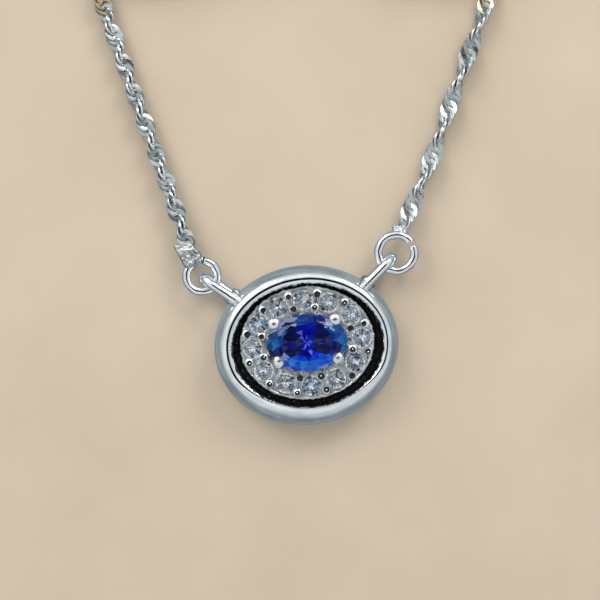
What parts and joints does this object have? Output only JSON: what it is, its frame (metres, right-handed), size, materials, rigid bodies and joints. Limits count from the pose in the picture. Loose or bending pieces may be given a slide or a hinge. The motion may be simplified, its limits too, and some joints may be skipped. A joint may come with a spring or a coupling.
{
  "type": "pendant necklace",
  "caption": "Oval halo pendant with a faceted centre stone in a domed polished frame, hung from two jump rings on a fine twisted-link chain with a lobster clasp.",
  "frame": {"origin": "centre of the pendant's flat back, on the surface the necklace lies on", "axes": "+Z out of the pendant's face, +Y from the pendant towards the wearer's neck, +X to the right as seen from the front"},
  "size_m": [0.0414, 0.0612, 0.0036],
  "materials": {
    "polished_silver": "polished",
    "setting_silver": "bright",
    "black_enamel": "gloss",
    "blue_stone": "polished",
    "clear_stone": "polished",
    "chain_silver": "bright",
    "clasp_silver": "polished",
    "spring_steel": "satin"
  },
  "bodies": {
    "pendant": {"bezel_frame": "polished_silver", "back_plate": "setting_silver", "enamel_channel": "black_enamel", "halo_plate": "setting_silver", "halo_beads_outer": "setting_silver", "halo_beads_inner": "setting_silver", "centre_gallery": "setting_silver", "centre_claws": "setting_silver", "centre_stone": "blue_stone", "halo_stone_01": "clear_stone", "halo_stone_02": "clear_stone", "halo_stone_03": "clear_stone", "halo_stone_04": "clear_stone", "halo_stone_05": "clear_stone", "halo_stone_06": "clear_stone", "halo_stone_07": "clear_stone", "halo_stone_08": "clear_stone", "halo_stone_09": "clear_stone", "halo_stone_10": "clear_stone", "halo_stone_11": "clear_stone", "halo_stone_12": "clear_stone", "eyelet_left": "polished_silver", "eyelet_right": "polished_silver"},
    "jump_ring_left": {"jump_ring_left": "polished_silver"},
    "jump_ring_right": {"jump_ring_right": "polished_silver"},
    "chain_left": {"chain_tab_left": "setting_silver", "chain_left": "chain_silver", "chain_left_coil": "chain_silver", "chain_left_tail": "chain_silver", "end_tag_left": "setting_silver"},
    "chain_right": {"chain_tab_right": "setting_silver", "chain_right": "chain_silver", "chain_right_coil": "chain_silver", "chain_right_tail": "chain_silver", "end_tag_right": "setting_silver"},
    "clasp_ring": {"clasp_ring": "clasp_silver"},
    "clasp": {"clasp_body": "clasp_silver", "clasp_pin": "clasp_silver", "clasp_spring": "spring_steel"},
    "clasp_lever": {"clasp_lever": "clasp_silver"},
    "catch_ring": {"catch_ring": "clasp_silver"}
  },
  "joints": [
    {"name": "jump_ring_left_lift", "type": "hinge", "parent": "pendant", "child": "jump_ring_left", "pos_m": [-0.00732, 0.00593, 0.00155], "axis": [0.6293, 0.7771, 0], "range_deg": [0, 60]},
    {"name": "jump_ring_right_lift", "type": "hinge", "parent": "pendant", "child": "jump_ring_right", "pos_m": [0.00731, 0.00617, 0.00155], "axis": [0.6455, -0.7638, 0], "range_deg": [0, 60]},
    {"name": "chain_left_swing", "type": "hinge", "parent": "jump_ring_left", "child": "chain_left", "pos_m": [-0.00836, 0.00677, 0.00155], "axis": [0, 0, 1], "range_deg": [0, 45]},
    {"name": "chain_right_swing", "type": "hinge", "parent": "jump_ring_right", "child": "chain_right", "pos_m": [0.00848, 0.00716, 0.00155], "axis": [0, 0, -1], "range_deg": [0, 45]},
    {"name": "clasp_ring_swing", "type": "hinge", "parent": "chain_left", "child": "clasp_ring", "pos_m": [-0.00051, 0.05082, 0.00125], "axis": [0, 0, 1], "range_deg": [0, 50]},
    {"name": "clasp_swing", "type": "hinge", "parent": "clasp_ring", "child": "clasp", "pos_m": [0.00147, 0.0511, 0.00125], "axis": [0, 0, 1], "range_deg": [0, 50]},
    {"name": "clasp_lever_press", "type": "hinge", "parent": "clasp", "child": "clasp_lever", "pos_m": [0.00452, 0.05057, 0.00125], "axis": [0, 0, 1], "range_deg": [0, 18], "stiffness_Nm_per_rad": 0.002},
    {"name": "catch_ring_lift", "type": "hinge", "parent": "chain_right", "child": "catch_ring", "pos_m": [0.01971, 0.04897, 0.0008], "axis": [0.9397, 0.342, 0], "range_deg": [0, 80]}
  ]
}
